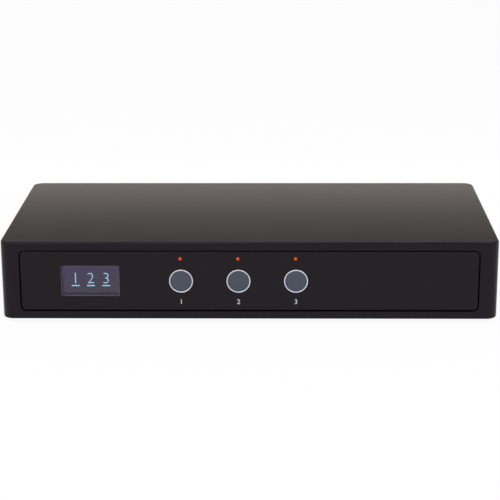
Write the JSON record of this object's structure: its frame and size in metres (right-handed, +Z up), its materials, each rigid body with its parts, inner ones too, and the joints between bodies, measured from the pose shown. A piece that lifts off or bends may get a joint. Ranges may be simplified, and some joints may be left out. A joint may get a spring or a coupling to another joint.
{
  "type": "speaker selector switch",
  "caption": "Low flat desktop box that switches an amplifier's loudspeaker output to several zones, with push keys, indicator lights, a small display and plug-in rear terminals.",
  "frame": {"origin": "centre of the bounding box's base, on the surface that the feet stand on", "axes": "+Z up, the front faces -Y, +X is to the right as the user faces the front"},
  "size_m": [0.2014, 0.11, 0.0343],
  "materials": {
    "case_black": "satin moulded",
    "panel_black": "fine matt",
    "foot_rubber": "matt",
    "screw_steel": "blackened zinc",
    "window_clear": "clear",
    "display_glass": "dark",
    "flex_amber": "satin",
    "connector_cream": "satin",
    "board_green": "solder mask",
    "header_black": "satin",
    "pin_brass": "bright",
    "shield_can": "satin",
    "capacitor_sleeve": "gloss",
    "chip_black": "matt",
    "ring_bright": "satin",
    "key_grey": "satin",
    "pipe_red": "clear tint",
    "led_red": "gloss",
    "relay_black": "satin",
    "terminal_green": "satin",
    "clamp_steel": "satin"
  },
  "bodies": {
    "case": {"top_shell": "case_black", "base_plate": "case_black", "base_screws": "screw_steel", "rubber_feet": "foot_rubber", "front_panel": "panel_black", "rear_panel": "panel_black", "display_window": "window_clear", "display_glass": "display_glass", "display_flex": "flex_amber", "display_connector": "connector_cream", "front_board": "board_green", "front_board_screws": "screw_steel", "link_header": "header_black", "link_pins": "pin_brass", "main_board": "board_green", "main_board_screws": "screw_steel", "radio_module": "board_green", "radio_shield": "shield_can", "supply_capacitors": "capacitor_sleeve", "relay_driver": "chip_black", "socket_pins": "pin_brass", "power_inlet": "header_black", "trigger_jack": "header_black", "zone_1_ring": "ring_bright", "zone_1_switch": "header_black", "zone_1_light_pipe": "pipe_red", "zone_1_led": "led_red", "zone_1_relay": "relay_black", "zone_2_ring": "ring_bright", "zone_2_switch": "header_black", "zone_2_light_pipe": "pipe_red", "zone_2_led": "led_red", "zone_2_relay": "relay_black", "zone_3_ring": "ring_bright", "zone_3_switch": "header_black", "zone_3_light_pipe": "pipe_red", "zone_3_led": "led_red", "zone_3_relay": "relay_black", "amplifier_socket": "terminal_green", "zone_1_socket": "terminal_green", "zone_2_socket": "terminal_green", "zone_3_socket": "terminal_green"},
    "zone_1_key": {"zone_1_button": "key_grey", "zone_1_plunger": "header_black"},
    "zone_2_key": {"zone_2_button": "key_grey", "zone_2_plunger": "header_black"},
    "zone_3_key": {"zone_3_button": "key_grey", "zone_3_plunger": "header_black"},
    "amplifier_connector": {"amplifier_plug": "terminal_green", "amplifier_plug_clamps": "clamp_steel", "amplifier_plug_screws": "screw_steel"},
    "zone_1_connector": {"zone_1_plug": "terminal_green", "zone_1_plug_clamps": "clamp_steel", "zone_1_plug_screws": "screw_steel"},
    "zone_2_connector": {"zone_2_plug": "terminal_green", "zone_2_plug_clamps": "clamp_steel", "zone_2_plug_screws": "screw_steel"},
    "zone_3_connector": {"zone_3_plug": "terminal_green", "zone_3_plug_clamps": "clamp_steel", "zone_3_plug_screws": "screw_steel"}
  },
  "joints": [
    {"name": "zone_1_press", "type": "slide", "parent": "case", "child": "zone_1_key", "axis": [0, 1, 0], "range_m": [0, 0.0003], "stiffness_N_per_m": 600, "springref_m": -0.002},
    {"name": "zone_2_press", "type": "slide", "parent": "case", "child": "zone_2_key", "axis": [0, 1, 0], "range_m": [0, 0.0003], "stiffness_N_per_m": 600, "springref_m": -0.002},
    {"name": "zone_3_press", "type": "slide", "parent": "case", "child": "zone_3_key", "axis": [0, 1, 0], "range_m": [0, 0.0003], "stiffness_N_per_m": 600, "springref_m": -0.002},
    {"name": "amplifier_unplug", "type": "slide", "parent": "case", "child": "amplifier_connector", "axis": [0, 1, 0], "range_m": [0, 0.009]},
    {"name": "zone_1_unplug", "type": "slide", "parent": "case", "child": "zone_1_connector", "axis": [0, 1, 0], "range_m": [0, 0.009]},
    {"name": "zone_2_unplug", "type": "slide", "parent": "case", "child": "zone_2_connector", "axis": [0, 1, 0], "range_m": [0, 0.009]},
    {"name": "zone_3_unplug", "type": "slide", "parent": "case", "child": "zone_3_connector", "axis": [0, 1, 0], "range_m": [0, 0.009]}
  ]
}
